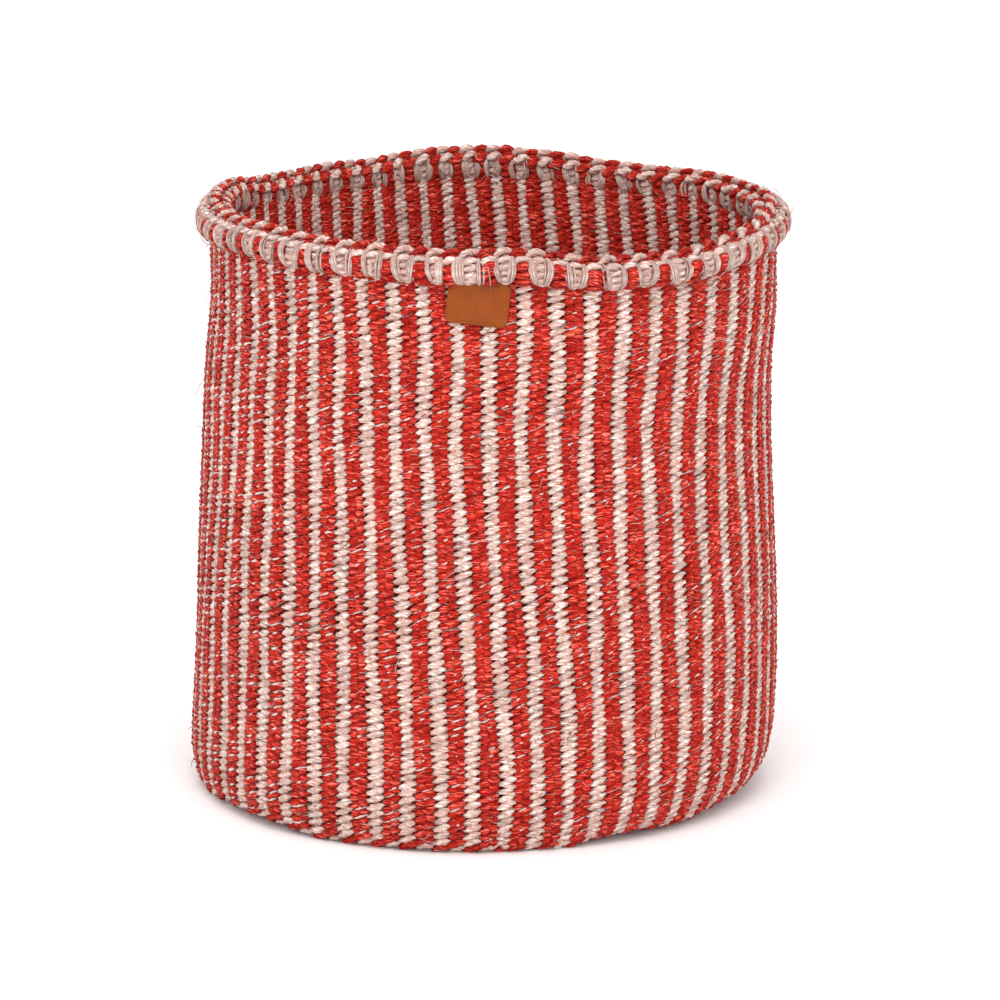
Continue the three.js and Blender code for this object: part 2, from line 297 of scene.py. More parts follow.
class BasketTag(bpy.types.PropertyGroup):
    """The bare leather tag and its thread"""

    width: length("Width", "Width of the tag", tag_high.x - tag_low.x)
    tall: length("Height", "Height of the tag", tag_high.z - tag_low.z)
    thickness: length("Thickness", "Thickness of the leather", 0.0018)
    corner: length("Corner", "Radius of the corners", 0.0030)
    turn: angle("Turn", "How far the tag is turned clockwise", 6.5)
    place: angle("Place", "Angle round the basket, to the right of the front", -2.9)
    height: length("Height of middle", "Height of the tag's middle", 0.2345)
    stand_off: length("Stand-off", "How far the lower edge stands off the wall", 0.0012)
    thread: length("Thread", "Thickness of the sewing thread", 0.0005)


class BasketFibres(bpy.types.PropertyGroup):
    """Loose fibres that lie on the weave or stick out"""

    lying: count("Lying fibres", "Number of fibres that lie on the wall", 4200)
    flying: count("Flying fibres", "Number of fibres that stick out", 420)
    slivers: amount("Slivers", "Share of red rows that show a natural sliver between them", 0.20)
    left_slivers: amount("Left slivers", "How much that share grows on the left side", 0.24)
    inside: count("Inside fibres", "Number of fibres on the inside", 380)
    on_rim: count("Rim fibres", "Number of fibres on the rim", 260)
    thickness: length("Thickness", "Thickness of a fibre", 0.00024)
    seed: count("Seed", "Chooses where the fibres lie", 11)


class BasketColours(bpy.types.PropertyGroup):
    """Colours of the yarn and leather"""

    # The two bright colours are partly painted highlights on the fibres, and the two colours for the sides of
    # the stitches are painted shade, the natural one tinged red
    red_light: colour("Light red", "Bright fibres of the red yarn", (0.70, 0.034, 0.018))
    red_bright: colour("Bright red", "Single shining fibres of the red yarn", (0.88, 0.24, 0.18))
    red_dark: colour("Dark red", "Dark fibres of the red yarn", (0.29, 0.0038, 0.002))
    red_crevice: colour("Red crevice", "Sides of the red stitches", (0.13, 0.003, 0.002))
    red_fleck: colour("Orange fleck", "Stretches where the dye took less", (0.80, 0.16, 0.06))
    natural_light: colour("Light natural", "Bright fibres of the natural yarn", (0.91, 0.74, 0.66))
    natural_bright: colour("Bright natural", "Single shining natural fibres", (0.98, 0.89, 0.83))
    natural_dark: colour("Dark natural", "Dark fibres of the natural yarn", (0.60, 0.315, 0.255))
    natural_crevice: colour("Natural crevice", "Sides of the stitches, tinged red", (0.38, 0.085, 0.048))
    natural_fleck: colour("Brown fleck", "Browner stretches of the natural yarn", (0.64, 0.42, 0.27))
    leather: colour("Leather", "The face of the leather", (0.272, 0.058, 0.0088))
    leather_edge: colour("Leather edge", "Burnished edge of the leather", (0.13, 0.03, 0.008))


class BasketStudio(bpy.types.PropertyGroup):
    """Floor, light and camera"""

    camera_side: length("Camera side", "How far the camera is to the right", 0.00566)
    camera_back: length("Camera distance", "How far the camera is in front", 2.4)
    camera_height: length("Camera height", "Height of the camera", 0.6856)
    camera_pitch: angle("Camera pitch", "How far the camera looks down", math.degrees(0.230))
    camera_lens: amount("Lens", "Focal length on a 36 mm wide sensor, in mm", 204.6)
    sky: amount("Sky", "Strength of the white surroundings", 1.13)
    key: amount("Key light", "Power of the large soft lamp in front, in watts", 8.5)
    overhead: amount("Overhead light", "Power of the soft lamp above, in watts", 9.0)
    floor: colour("Floor", "The pale floor", (0.97, 0.97, 0.97))


def smooth_step(share):
    """Rises from 0 to 1 with no sharp start or end."""
    share = np.clip(share, 0, 1)
    return share * share * (3 - 2 * share)


def unit(vectors):
    """The same directions at length one."""
    return vectors / np.maximum(np.linalg.norm(vectors, axis=-1, keepdims=True), 1e-12)


def powered(values, power):
    """Values raised to a power with their sign kept."""
    return np.sign(values) * np.abs(values) ** power


def stripe_angle(column, radius, height):
    """Angle of a column round the basket, in radians to the right of the front."""
    turn = column * 2 * math.pi / COLUMNS
    down = (LEAN_FROM - height) / LEAN_OVER
    crowding = (
        FRONT_CROWDING * np.sin(turn)
        - SIDE_CROWDING * (np.cos(turn) - 1)
        - SECOND_CROWDING * np.sin(2 * turn)
        - BACK_CROWDING * (np.cos(2 * turn) - 1)
        + WHOLE_TURN
    )
    front = np.exp((np.cos(turn + math.radians(FRONT_LEAN_PLACE)) - 1) / FRONT_LEAN_SPREAD)
    lean = down * (BACK_LEAN + FRONT_LEAN * front)
    bow = MIDDLE_BOW * np.sin(math.pi * down) * np.cos(turn - math.radians(MIDDLE_BOW_PLACE))
    even_out = smooth_step((radius - EVEN_RADIUS) / (CROWDED_RADIUS - EVEN_RADIUS))
    return turn + even_out * np.radians(crowding + lean + bow)


def waves_at(waves, around):
    """Height in metres that a list of waves gives at angles in degrees, smoothly between its places."""
    place, height = (np.array(v, float) for v in zip(*waves))
    start = np.clip(np.searchsorted(place, around, "right") - 1, 0, len(place) - 2)
    share = smooth_step((around - place[start]) / (place[start + 1] - place[start]))
    return 0.001 * (height[start] + (height[start + 1] - height[start]) * share)


def small_waves(waves, turn, along):
    """Sum of small waves at places round the basket and along its profile."""
    return sum(size * np.sin(times * turn + along / reach + shift) for size, times, reach, shift in waves)


def settled(points, shape):
    """Points of a true round basket, moved as the handmade one leans, tilts and bulges."""
    x, y, z = points[..., 0], points[..., 1], points[..., 2]
    around = np.degrees(np.arctan2(x, -y))
    rise = np.clip(z / RIM_WAVE_HEIGHT, 0, 1.1)
    drift = (
        shape.side_drift
        + shape.foot_drift * np.exp(-z / shape.foot_drift_height)
        + shape.rim_drift * smooth_step((z - RIM_DRIFT_FROM) / RIM_DRIFT_OVER)
    )
    near_heel = smooth_step((np.hypot(x, y) - HEEL_WAVES_FROM) / HEEL_WAVES_OVER)
    heel = waves_at(HEEL_WAVES, around) * np.exp(-z / HEEL_FADE) * near_heel
    ripple = sum(size * np.sin(np.radians(times * around + shift)) for size, times, shift in RIM_RIPPLES)
    lifted = shape.rim_waves * (rise**4 * waves_at(RIM_WAVES, around) + rise**6 * ripple)
    return np.stack((x + drift, y, z + lifted + shape.heel_waves * heel), axis=-1)


def slanting(swing):
    """Rises straight from -1 to 1 and falls back in each full swing, with rounded turns."""
    return np.arcsin(SLANT_STRAIGHTNESS * np.sin(swing)) / math.asin(SLANT_STRAIGHTNESS)


def left_side(turn):
    """1 on the left side of the front, fading to 0 elsewhere."""
    return np.exp((np.cos(turn + math.radians(LEFT_PLACE)) - 1) / LEFT_SPREAD)


class TurnedLine:
    """A profile turned about the basket's axis, on which strands are laid.

    A place on it has a column round the basket, a distance along the profile and a depth proud of it.
    """

    def __init__(self, radius, height, shape, wander=0.0):
        self.shape, self.wander = shape, wander
        self.radius, self.height = radius, height
        self.along = np.concatenate(([0.0], np.cumsum(np.hypot(np.diff(radius), np.diff(height)))))
        slope = unit(np.stack((np.gradient(radius, self.along), np.gradient(height, self.along)), axis=-1))
        self.out_radius, self.out_height = slope[:, 1], -slope[:, 0]

    @property
    def end(self):
        """Length of the profile."""
        return self.along[-1]

    @property
    def top(self):
        """Distance along the profile at which it is highest."""
        return self.along[np.argmax(self.height)]

    def inset(self, distance):
        """A line that lies this far inside the profile."""
        radius = np.maximum(self.radius - distance * self.out_radius, 0)
        return TurnedLine(radius, self.height - distance * self.out_height, self.shape, self.wander)

    def at_height(self, height):
        """Distance along a rising profile at which it reaches a height."""
        return float(np.interp(height, self.height, self.along))

    @staticmethod
    def row_shift(below, turn):
        """How far a row lies above its even place, from its distance below the rim.

        The rows crowd together at the back, and rise and fall a little at the front.
        """
        back = smooth_step(1.2 - np.cos(turn / 2) ** 2 * 2.4)
        crowded = BACK_SHIFT * np.interp(below, BACK_SHIFT_BELOW_RIM, (0.0, 1.0, 0.0)) * back
        slow = SLOW_WANDER * np.sin(below / SLOW_REACH + 0.9 + 0.6 * np.sin(turn))
        quick = QUICK_WANDER * np.sin(below / QUICK_REACH + 2 * np.sin(turn + 0.5))
        return crowded + (1 - 0.8 * back) * smooth_step(below / EVEN_BELOW_RIM) * (slow + quick)

    def place(self, column, along, depth):
        """Points of the places, and the directions that face out of the surface there."""
        column, along, depth = np.broadcast_arrays(column, along, depth)
        turn = column * 2 * math.pi / COLUMNS
        radius = np.interp(along, self.along, self.radius)
        wide = smooth_step(radius / 0.06)
        along = along + wide * small_waves(ROW_WAVES, turn, along)
        along = along + self.wander * wide * self.row_shift(self.end - along, turn)
        profile = (self.radius, self.height, self.out_radius, self.out_height)
        radius, height, out_radius, out_height = (np.interp(along, self.along, v) for v in profile)
        sway = wide * small_waves(SWAY_WAVES, turn, along)
        lump = self.shape.lump * wide * small_waves(LUMP_WAVES, turn, along)
        radius = radius + out_radius * (depth + lump)
        height = height + out_height * depth
        around = stripe_angle(column + sway, radius, height)
        sine, cosine = np.sin(around), np.cos(around)
        points = np.stack((radius * sine, -radius * cosine, height), axis=-1)
        outward = np.stack((out_radius * sine, -out_radius * cosine, out_height), axis=-1)
        return settled(points, self.shape), outward


def wall_line(shape, weave):
    """The middle of the wall's thickness, from the centre of the base round the heel and up to the rim."""
    foot, corner, heel = shape.foot_radius, shape.heel_corner, shape.heel_height

    def outer_radius(height):
        rise = np.abs((height - shape.belly_height) / shape.belly_reach)
        pull = shape.heel_pull * np.exp((heel - height) / shape.heel_pull_height)
        return shape.top_radius + shape.belly_swell * np.exp(-(rise**3)) - pull

    flat = np.linspace(0, foot, 110, endpoint=False)
    bend = np.linspace(0, 1, 40, endpoint=False)
    bend_radius = foot * (1 - bend) ** 2 + 2 * corner * bend * (1 - bend) + outer_radius(heel) * bend**2
    rise = np.linspace(heel, shape.wall_top, 240)
    radius = np.concatenate((flat, bend_radius, outer_radius(rise)))
    height = np.concatenate((0 * flat, heel * bend**2, rise))
    return TurnedLine(radius, height, shape, weave.row_wander).inset(weave.half_wall)


def rim_line(shape, rim, tail=0.0, inner_tail=0.0):
    """The skin of the rim, from its outer foot over the crest to its inner foot.

    The tails carry it on down the wall below its feet.
    """
    step = 0.0005
    outer_foot, inner_foot = -75, 245
    turn = np.radians(np.linspace(outer_foot, inner_foot, 400))
    across, up = (powered(v, 2 / rim.squareness) for v in (np.cos(turn), np.sin(turn)))
    radius = rim.middle_radius + np.where(across > 0, rim.half_width, rim.inner_half) * across
    height = rim.middle_height + rim.half_height * up
    below = np.arange(tail, 0, -step)
    inside = np.arange(step, inner_tail, step)
    radius = np.concatenate((np.full(len(below), radius[0]), radius, np.full(len(inside), radius[-1])))
    height = np.concatenate((height[0] - below, height, height[-1] - inside))
    return TurnedLine(radius, height, shape)


def spiral_zones(line, weave):
    """Turns of the weft from the centre out, as (first turn, turns, warps that it passes in a turn).

    The warps double three times on their way out, each time at twice the radius.
    """
    total = int((line.end - weave.centre_radius) / weave.row_pitch)
    first, zones = 0, []
    for warps in (COLUMNS // 8, COLUMNS // 4, COLUMNS // 2):
        last = round((DOUBLING_RADIUS * warps * 8 / COLUMNS - weave.centre_radius) / weave.row_pitch)
        zones.append((first, last - first, warps))
        first = last
    while first < total:
        turns = min(TURNS_PER_PIECE, total - first)
        zones.append((first, turns, COLUMNS))
        first += turns
    return zones


def tube_mesh(
    name, centre, outward, width, depth, sides, looped=False, strips=1, lanes=1,
    shade=1.0, fleck=0.0, crevice=0.0, ridges=0.0, lay=0.0,
):
    """A mesh of flattened tubes. Centre and outward are arrays of tubes by samples by xyz.

    Ridges are bundles of fibre, one to every two sides, that wind once round the tube in each lay. Strips is
    how many strips the bake map cuts each tube into, and lanes is how many lie side by side on it.
    """
    tubes, samples = centre.shape[:2]
    width, depth, shade, fleck, crevice = (
        np.broadcast_to(v, (tubes, samples))[..., None] for v in (width, depth, shade, fleck, crevice)
    )
    if looped:
        ahead = np.roll(centre, -1, axis=1) - np.roll(centre, 1, axis=1)
        onward = np.concatenate((centre, centre[:, :1]), axis=1)
    else:
        ahead = np.gradient(centre, axis=1)
        onward = centre
    ahead = unit(ahead)
    across = unit(np.cross(outward, ahead))
    raised = np.cross(ahead, across)
    run = np.cumsum(np.linalg.norm(np.diff(onward, axis=1), axis=-1), axis=1)
    run = np.concatenate((np.zeros((tubes, 1)), run), axis=1)
    winds = run[:, -1:] / lay if lay else np.zeros((tubes, 1))
    if looped:
        winds = np.rint(winds)
    wound = winds * run[:, :samples] / run[:, -1:]
    turn = 2 * math.pi * (np.arange(sides) / sides + wound[..., None])[..., None]
    sideways, upward = (powered(v, TUBE_ROUNDNESS) for v in (np.cos(turn), np.sin(turn)))
    swell = 1 + fibre_ridges(name, tubes, samples, sides, ridges)
    ring = (
        centre[:, :, None]
        + across[:, :, None] * (width / 2)[..., None] * sideways * swell
        + raised[:, :, None] * (depth / 2)[..., None] * upward * swell
    )
    ring[..., 2] = np.maximum(ring[..., 2], 0)
    steps = samples if looped else samples - 1
    grid = np.meshgrid(np.arange(tubes), np.arange(steps), np.arange(sides), indexing="ij")
    tube, step, side = (v.reshape(-1, 1) for v in grid)
    strip = np.minimum(step * strips // steps, strips - 1)
    quads = np.broadcast_arrays(tube, step + np.array([0, 0, 1, 1]), side + np.array([0, 1, 1, 0]), strip)
    corners = [v.ravel() for v in quads]
    starts = 4 * np.arange(len(tube))
    if not looped:
        capped = np.repeat(np.arange(tubes), 2)[:, None]
        at_end = np.tile([0, 1], tubes)[:, None]
        cap_side = np.where(at_end == 1, np.arange(sides), sides - 1 - np.arange(sides))
        caps = np.broadcast_arrays(capped, at_end * steps, cap_side, at_end * (strips - 1))
        corners = [np.concatenate((quad, cap.ravel())) for quad, cap in zip(corners, caps)]
        starts = np.concatenate((starts, 4 * len(tube) + sides * np.arange(2 * tubes)))
    corner_tube, corner_step, corner_side, corner_strip = corners
    vertex = (corner_tube * samples + corner_step % samples) * sides + corner_side % sides
    around = corner_side / sides
    strand_map = np.stack((run[corner_tube, corner_step], around), axis=-1)
    index = corner_tube * strips + corner_strip
    rows = math.ceil(tubes * strips / lanes)
    part = np.clip(corner_step * strips / steps - corner_strip, 0, 1)
    across_bake = (index % lanes + 0.01 + 0.98 * part) / lanes
    up_bake = (index // lanes + 0.04 + 0.92 * around) / rows
    mesh = bpy.data.meshes.new(name)
    mesh.vertices.add(tubes * samples * sides)
    mesh.vertices.foreach_set("co", ring.astype(np.float32).ravel())
    mesh.loops.add(len(vertex))
    mesh.loops.foreach_set("vertex_index", vertex.astype(np.int32))
    mesh.polygons.add(len(starts))
    mesh.polygons.foreach_set("loop_start", starts.astype(np.int32))
    mesh.polygons.foreach_set("use_smooth", np.ones(len(starts), bool))
    for map_name, values in (("strand", strand_map), ("OFBake", np.stack((across_bake, up_bake), axis=-1))):
        mesh.uv_layers.new(name=map_name).data.foreach_set("uv", values.astype(np.float32).ravel())
    # Painted shade is strongest at the tube's sides, where it touches its neighbours
    beside = np.abs(np.cos(turn[..., 0])) ** 3
    for attribute, values in (("shade", shade), ("fleck", fleck), ("crevice", crevice * beside)):
        layer = mesh.attributes.new(attribute, "FLOAT", "POINT")
        values = np.broadcast_to(values, (tubes, samples, sides))
        layer.data.foreach_set("value", values.astype(np.float32).ravel())
    mesh.update(calc_edges=True)
    return mesh


def fibre_ridges(name, tubes, samples, sides, height):
    """Swelling of each side of a tube, as uneven bundles of fibre give it, by tube, sample and side."""
    if height == 0:
        return np.zeros((1, 1, 1, 1))
    rng = np.random.default_rng(len(name) + samples)
    swelling = rng.normal(0, RIDGE_NOISE * height, (tubes, samples, sides, 1))
    swelling = 0.6 * np.roll(swelling, 1, axis=1) + 0.8 * swelling + 0.6 * np.roll(swelling, -1, axis=1)
    return swelling + height * (1 - 2 * (np.arange(sides) % 2))[:, None]


def add_piece(mesh, finish, slot, *nodes):
    """Puts a mesh in the scene as a piece of the basket that stands for the given nodes."""
    piece = bpy.data.objects.new(mesh.name, mesh)
    bpy.context.scene.collection.objects.link(piece)
    mesh.materials.append(finish)
    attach(piece, "root")
    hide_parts(*nodes)


def twined_strand(line, stitch, columns, turns, start, climb, phase, rng, uneven=1.0, looped=False):
    """One strand of a twined row: over one warp, between, and under the next, again and again."""
    stitches = columns * turns
    samples = stitches * SAMPLES_PER_STITCH + (0 if looped else 1)
    passed = np.arange(samples) / SAMPLES_PER_STITCH
    nearest = np.rint(passed).astype(int) % (stitches + (0 if looped else 1))
    swing = math.pi * (passed + phase)
    face = np.cos(swing)
    middle = np.cos(math.pi * passed) ** 2
    drawn = rng.normal(0, uneven, (5, stitches + 1))
    shift, slant, proud, plump, tone = drawn[:, nearest] * middle
    along = start + climb * passed / columns + stitch.lift * slanting(swing) + stitch.bow * face
    along = along + SHIFT_NOISE * shift + SLANT_NOISE * slant * np.sin(2 * swing)
    depth = stitch.sink + stitch.reach * (face - stitch.square * np.cos(3 * swing)) / (1 - stitch.square)
    depth = depth + PROUD_NOISE * proud + stitch.crossing_rise * (1 - np.abs(face))
    fullness = np.abs(face) ** stitch.taper
    yarn = np.convolve(rng.normal(0, 1, stitches + YARN_RUN), np.hanning(YARN_RUN) / 4.5, "valid")[nearest]
    thinned = 1 - stitch.thinning * left_side(passed * 2 * math.pi / columns)
    swollen = 1 + PLUMP_NOISE * plump + YARN_NOISE * uneven * yarn
    width = stitch.narrow + (stitch.wide - stitch.narrow) * fullness * swollen * thinned
    thick = stitch.crossing_thick + (stitch.thick - stitch.crossing_thick) * np.abs(face) ** 1.6
    shade = 1 + TONE_NOISE * tone + TONE_NOISE * yarn
    fleck = np.abs(drawn[4] * drawn[3]) - FLECK_LIMIT * max(1.0, uneven) ** 2
    fleck = np.clip(fleck, 0, MOST_FLECK)[nearest] * middle
    # Painted shade, stronger where the strand dives between two warps
    crevice = stitch.crevice * (1.1 - 0.3 * np.abs(face))
    centre, outward = line.place(passed * COLUMNS / columns, along, depth)
    return [v[None] for v in (centre, outward, width, thick, shade, fleck, crevice)]


def add_strands(name, yarn, strands, sides, nodes, looped=False, strips=1, lay_share=1.0):
    """Adds twined strands of one yarn as a piece that stands for the given nodes."""
    weave = bpy.context.scene.basket_weave
    centre, outward, width, thick, shade, fleck, crevice = (np.concatenate(v) for v in zip(*strands))
    mesh = tube_mesh(
        f"{name}_{yarn}", centre, outward, width, thick, sides, looped, strips,
        shade=shade, fleck=fleck, crevice=crevice, ridges=weave.fibre_ridges, lay=lay_share * weave.lay,
    )
    add_piece(mesh, yarn_finish(yarn), f"{yarn}_sisal", *nodes)


def feed(tree, socket, value):
    """Links a socket to another, or sets its own value."""
    if isinstance(value, bpy.types.NodeSocket):
        tree.links.new(value, socket)
    elif isinstance(value, (int, float)):
        socket.default_value = value
    else:
        socket.default_value = (*value, 1.0)[: len(socket.default_value)]


def new_node(tree, kind, inputs, output=0, **settings):
    """One output of a new node that is given its settings and its inputs."""
    node = tree.nodes.new(kind)
    for name, value in settings.items():
        setattr(node, name, value)
    for key, value in inputs.items():
        feed(tree, node.inputs[key], value)
    return node.outputs[output]


def mix_colour(tree, factor, first, second):
    """A mix of two colours."""
    return new_node(tree, "ShaderNodeMix", {0: factor, 6: first, 7: second}, 2, data_type="RGBA")


def compute(tree, operation, *values):
    """One step of arithmetic."""
    return new_node(tree, "ShaderNodeMath", dict(enumerate(values)), operation=operation)


def remap(tree, *values):
    """Takes one range of a value to another: the value, its low and high end, and the new ones."""
    return new_node(tree, "ShaderNodeMapRange", dict(enumerate(values)))


def noise(tree, vector, scale, detail, roughness):
    """A cloudy pattern from 0 to 1."""
    inputs = {"Vector": vector, "Scale": scale, "Detail": detail, "Roughness": roughness}
    return new_node(tree, "ShaderNodeTexNoise", inputs, "Fac")


def attribute(tree, name):
    """A number stored on the mesh."""
    return new_node(tree, "ShaderNodeAttribute", {}, "Fac", attribute_name=name)


def relief(tree, shader, height, strength, distance):
    """Gives a shader the relief of a height."""
    inputs = {"Height": height, "Strength": strength, "Distance": distance}
    feed(tree, shader.inputs["Normal"], new_node(tree, "ShaderNodeBump", inputs))


def new_finish(name, roughness=0.5):
    """A new material, its node tree and its shader."""
    material = bpy.data.materials.new(name)
    material.use_nodes = True
    shader = material.node_tree.nodes["Principled BSDF"]
    shader.inputs["Roughness"].default_value = roughness
    shader.inputs["Specular IOR Level"].default_value = 0.1
    return material, material.node_tree, shader


def yarn_finish(kind):
    """Sisal yarn: fibres that run along the strand and wind slowly round it. Pale is for single fibres."""
    name = {"natural": "natural_yarn", "red": "red_yarn", "pale": "pale_fibres"}[kind]
    if name in bpy.data.materials:
        return bpy.data.materials[name]
    colours = bpy.context.scene.basket_colours
    dye = "red" if kind == "red" else "natural"
    # Of these colours, the bright one is partly a painted highlight on the fibres, and the last is painted
    # shade
    parts = ("dark", "light", "bright", "fleck", "crevice")
    dark, light, bright, fleck, crevice = (getattr(colours, f"{dye}_{part}") for part in parts)
    if kind == "pale":
        dark, light = light, bright
    material, tree, shader = new_finish(name)
    strand_map = new_node(tree, "ShaderNodeUVMap", {}, uv_map="strand")
    along, around = (new_node(tree, "ShaderNodeSeparateXYZ", {0: strand_map}, axis) for axis in (0, 1))
    turn = compute(tree, "MULTIPLY", around, 2 * math.pi)
    cosine, sine = compute(tree, "COSINE", turn), compute(tree, "SINE", turn)

    def fibres(stretch, scale, roughness):
        place = {0: compute(tree, "MULTIPLY", along, stretch), 1: cosine, 2: sine}
        return noise(tree, new_node(tree, "ShaderNodeCombineXYZ", place), scale, 2.0, roughness)

    streaks, hairs = fibres(*YARN_STREAKS), fibres(*YARN_HAIRS)
    streak_part = compute(tree, "MULTIPLY", streaks, 1 - HAIR_SHARE)
    tone = compute(tree, "MULTIPLY_ADD", hairs, HAIR_SHARE, streak_part)
    tone = remap(tree, tone, 0.40, 0.58, 0.0, 1.0)
    base = mix_colour(tree, tone, dark, light)
    # Painted highlight: the lightest streaks go towards the bright colour, partly as lighter fibres and
    # partly as their shine
    base = mix_colour(tree, remap(tree, streaks, 0.56, 0.68, 0.0, 0.8), base, bright)
    base = mix_colour(tree, attribute(tree, "fleck"), base, fleck)
    # Painted shade at the sides of the stitches, as much as the mesh's numbers give
    base = mix_colour(tree, attribute(tree, "crevice"), base, crevice)
    shaded = {0: base, "Scale": attribute(tree, "shade")}
    feed(tree, shader.inputs["Base Color"], new_node(tree, "ShaderNodeVectorMath", shaded, operation="SCALE"))
    relief(tree, shader, tone, *YARN_RELIEF)
    return material


def leather_finish():
    """Tan leather with a fine grain, scuffs and a burnished edge."""
    colours = bpy.context.scene.basket_colours
    face, edge = colours.leather, colours.leather_edge
    bright = tuple(min(1.0, 1.45 * c) for c in face)
    material, tree, shader = new_finish("tan_leather")
    place = new_node(tree, "ShaderNodeTexCoord", {}, "Object")
    cloud = noise(tree, place, *LEATHER_CLOUDS)
    scuff = noise(tree, place, *LEATHER_SCUFFS)
    base = mix_colour(tree, remap(tree, cloud, 0.3, 0.7, 0.0, 0.35), face, edge)
    base = mix_colour(tree, remap(tree, scuff, 0.55, 0.8, 0.0, 0.5), base, bright)
    feed(tree, shader.inputs["Base Color"], mix_colour(tree, attribute(tree, "shade"), base, edge))
    feed(tree, shader.inputs["Roughness"], remap(tree, scuff, 0.3, 0.7, 0.42, 0.62))
    cells = {"Vector": place, "Scale": LEATHER_GRAIN}
    grain = new_node(tree, "ShaderNodeTexVoronoi", cells, "Distance", feature="DISTANCE_TO_EDGE")
    height = compute(tree, "MULTIPLY_ADD", cloud, 0.6, remap(tree, grain, 0.0, 0.3, 0.0, 0.5))
    relief(tree, shader, height, *LEATHER_RELIEF)
    return material


def wall_stitch(weave, yarn):
    """Proportions of a stitch in the wall, of the red or the natural yarn."""
    # The last part is the strength of the painted shade at the stitch's sides and ends
    parts = ("height", "fullness", "taper", "crevice")
    height, fullness, taper, crevice = (getattr(weave, f"{yarn}_{part}") for part in parts)
    reach = weave.half_wall - weave.strand_thickness / 2 + weave.natural_proud / 2
    thinning = 0.0
    if yarn == "red":
        reach = reach - weave.natural_proud
        thinning = weave.red_thinning
    return Stitch(
        lift=weave.stitch_lift, reach=reach, sink=0.0, wide=height, narrow=weave.crossing_height,
        thick=weave.strand_thickness, crossing_thick=weave.crossing_thickness, square=fullness, taper=taper,
        thinning=thinning, crossing_rise=weave.crossing_rise, crevice=crevice,
    )


def weave_zone(context, title, zone, sides, nodes, natural_phase=0):
    """The two strands of one zone of the spiral. In phase 0 the natural one is outside the even columns."""
    weave = context.scene.basket_weave
    line = wall_line(context.scene.basket_shape, weave)
    first, turns, columns = zone
    start = weave.centre_radius + weave.row_pitch * first
    for yarn, phase in (("natural", natural_phase), ("red", 1 - natural_phase)):
        rng = np.random.default_rng([weave.seed, first, phase])
        stitch = wall_stitch(weave, yarn)
        strand = twined_strand(
            line, stitch, columns, turns, start, weave.row_pitch, phase, rng, weave.unevenness
        )
        add_strands(title, yarn, [strand], sides, nodes[yarn], strips=turns)


def heel_turn(context):
    """The turn of the spiral that lies half way round the heel."""
    shape, weave = context.scene.basket_shape, context.scene.basket_weave
    along = wall_line(shape, weave).end - (shape.wall_top - shape.heel_height / 2)
    return int((along - weave.centre_radius) / weave.row_pitch)


class BASKET_OT_warps(bpy.types.Operator):
    """Upright warp cords that the strands are twined round"""

    bl_idname = "basket.warps"
    bl_label = "Warps"

    def execute(self, context):
        weave = context.scene.basket_weave
        line = wall_line(context.scene.basket_shape, weave)
        column = np.arange(COLUMNS)
        inner = np.where(column % 8 == 0, WARP_START, DOUBLING_RADIUS)
        inner = np.where(column % 4 == 2, 2 * DOUBLING_RADIUS, inner)
        inner = np.where(column % 2 == 1, 4 * DOUBLING_RADIUS, inner)
        samples, sides, thick = 70, 5, weave.warp_thickness
        along = inner[:, None] + (line.end - inner[:, None]) * np.linspace(0, 1, samples)
        centre, outward = line.place(column[:, None], along, 0.0)
        mesh = tube_mesh("warp_cords", centre, outward, thick, thick, sides, lanes=4)
        add_piece(mesh, yarn_finish("natural"), "warp_sisal", "warps")
        return {"FINISHED"}


class BASKET_OT_base(bpy.types.Operator):
    """Twined base, in a spiral from its centre to the heel, with the wall's colours changed round"""

    bl_idname = "basket.base"
    bl_label = "Base weave"

    def execute(self, context):
        weave = context.scene.basket_weave
        nodes = dict.fromkeys(("natural", "red"), ("base_outer_weave", "base_inner_weave"))
        heel = heel_turn(context)
        zones = spiral_zones(wall_line(context.scene.basket_shape, weave), weave)
        for number, (first, turns, columns) in enumerate(zone for zone in zones if zone[0] < heel):
            zone = (first, min(turns, heel - first), columns)
            weave_zone(context, f"base_{number}", zone, BASE_SIDES, nodes, natural_phase=1)
        return {"FINISHED"}


class BASKET_OT_wall(bpy.types.Operator):
    """Twined wall, in bands of turns from the heel to the rim"""

    bl_idname = "basket.wall"
    bl_label = "Wall weave"

    def execute(self, context):
        weave = context.scene.basket_weave
        nodes = {"natural": ("weft_natural",), "red": ("weft_red",)}
        heel = heel_turn(context)
        zones = spiral_zones(wall_line(context.scene.basket_shape, weave), weave)
        for number, (first, turns, columns) in enumerate(zones):
            if first + turns > heel:
                start = max(first, heel)
                zone = (start, first + turns - start, columns)
                weave_zone(context, f"wall_{number}", zone, WALL_SIDES, nodes)
        return {"FINISHED"}


